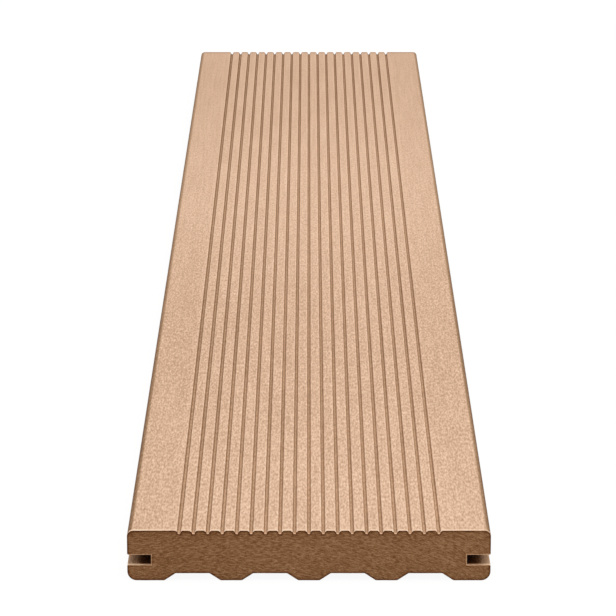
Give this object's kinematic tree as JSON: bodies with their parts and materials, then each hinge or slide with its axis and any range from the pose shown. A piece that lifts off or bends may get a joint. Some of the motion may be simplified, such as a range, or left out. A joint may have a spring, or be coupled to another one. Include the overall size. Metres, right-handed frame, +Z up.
{
  "type": "decking board",
  "caption": "Solid wood-plastic composite decking board with a finely grooved walking face, a clip slot along each side and shallow drainage channels underneath.",
  "frame": {"origin": "under the middle of the board, on the plane of its feet", "axes": "+Y along the board's length, +X across its width, +Z up out of the walking face"},
  "size_m": [0.145, 1, 0.021],
  "materials": {
    "composite": "matte"
  },
  "bodies": {
    "root": {"decking_board": "composite"}
  },
  "joints": []
}
